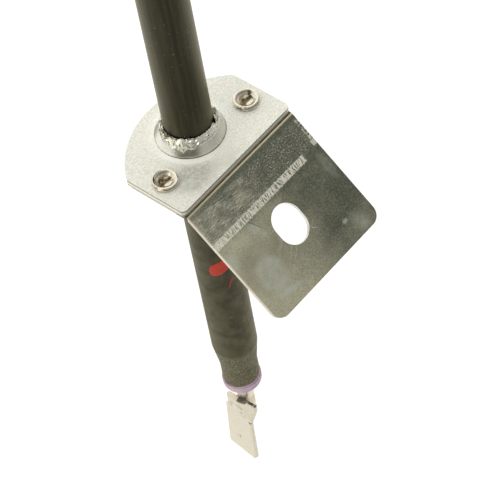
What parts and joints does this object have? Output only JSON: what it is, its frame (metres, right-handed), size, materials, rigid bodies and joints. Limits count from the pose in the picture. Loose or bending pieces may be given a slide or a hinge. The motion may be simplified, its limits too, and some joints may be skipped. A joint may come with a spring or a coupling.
{
  "type": "flame sensor probe",
  "caption": "Glazed ceramic tube on a metal flame rod, clamped in a riveted collar plate with a slotted angled bracket leg and a flat push-on terminal.",
  "frame": {"origin": "on the probe's axis, where the free glazed barrel starts just above the packed collar", "axes": "+Z along the electrode towards its flame end; the bracket leg slopes down towards -Y; X runs along the bracket's bend"},
  "size_m": [0.026, 0.035, 0.1883],
  "materials": {
    "glazed_ceramic": "satin brown-black glaze",
    "electrode_alloy": "drawn heat-resistant wire, dull",
    "sealing_cement": "matt cement",
    "plated_tab": "nickel-plated, satin",
    "zinc_plated_steel": "zinc-plated, fine satin",
    "aluminium_foil": "crushed, bright",
    "bare_steel_sheet": "rolled sheet with scratches and smudges",
    "nickel_rivet": "nickel-plated, bright"
  },
  "bodies": {
    "root": {"ceramic_insulator": "glazed_ceramic", "electrode_rod": "electrode_alloy", "hot_end_cement": "sealing_cement", "terminal_end_cement": "sealing_cement", "terminal_tab": "plated_tab", "collar_plate": "zinc_plated_steel", "foil_packing": "aluminium_foil", "mounting_bracket": "bare_steel_sheet", "rivet_left": "nickel_rivet", "rivet_right": "nickel_rivet"}
  },
  "joints": []
}
